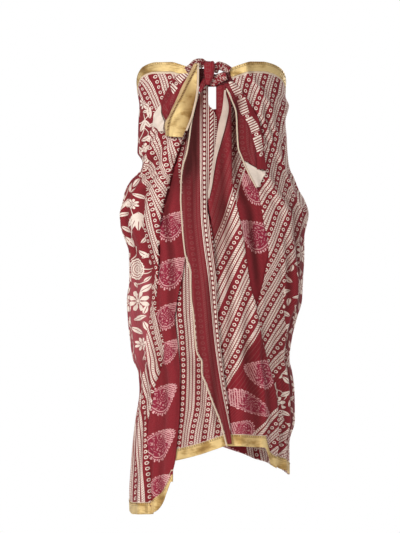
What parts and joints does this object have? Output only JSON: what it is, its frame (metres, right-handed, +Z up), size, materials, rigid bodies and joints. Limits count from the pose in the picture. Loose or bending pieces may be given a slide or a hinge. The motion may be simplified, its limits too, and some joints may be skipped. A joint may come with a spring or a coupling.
{
  "type": "sarong worn as a strapless wrap",
  "caption": "Thin printed cotton sarong wound round the chest, knotted at the centre front, with gold borders and open layers that fall to a low corner.",
  "frame": {"origin": "on the wearer's centre line at the bust line, where the wound cloth is held", "axes": "+Z up, +X to the viewer's right as seen from the front, -Y out of the knotted front"},
  "size_m": [0.4158, 0.3279, 0.9855],
  "materials": {
    "printed_cotton": "thin cotton voile, madder red with a cream print",
    "gold_border": "gold brocade ribbon with a soft metallic sheen",
    "cream_edge": "plain cream cotton edging"
  },
  "bodies": {
    "root": {"back_wrap": "printed_cotton", "left_wrap": "printed_cotton", "right_wrap": "printed_cotton", "left_front": "printed_cotton", "left_inner": "printed_cotton", "front_flap": "printed_cotton", "right_front": "printed_cotton", "right_valley": "printed_cotton", "inner_strand": "printed_cotton", "top_gold_back": "gold_border", "top_gold_left": "gold_border", "top_gold_right": "gold_border", "hem_gold_back": "gold_border", "hem_gold_left": "gold_border", "hem_gold_left_front": "gold_border", "hem_gold_centre": "gold_border", "hem_gold_right_front": "gold_border", "hem_gold_right": "gold_border", "flap_piping": "cream_edge", "front_selvedge": "cream_edge", "knot_back": "printed_cotton", "knot_loop": "printed_cotton", "knot_left": "printed_cotton", "knot_right": "printed_cotton", "knot_cuff": "printed_cotton", "knot_gather": "printed_cotton", "left_tail": "printed_cotton", "left_tail_tip": "cream_edge", "left_tail_gold": "gold_border", "left_tail_edge": "cream_edge", "right_tail": "printed_cotton", "right_tail_ladder": "printed_cotton", "right_tail_piping": "cream_edge", "right_tail_tip": "cream_edge"}
  },
  "joints": []
}
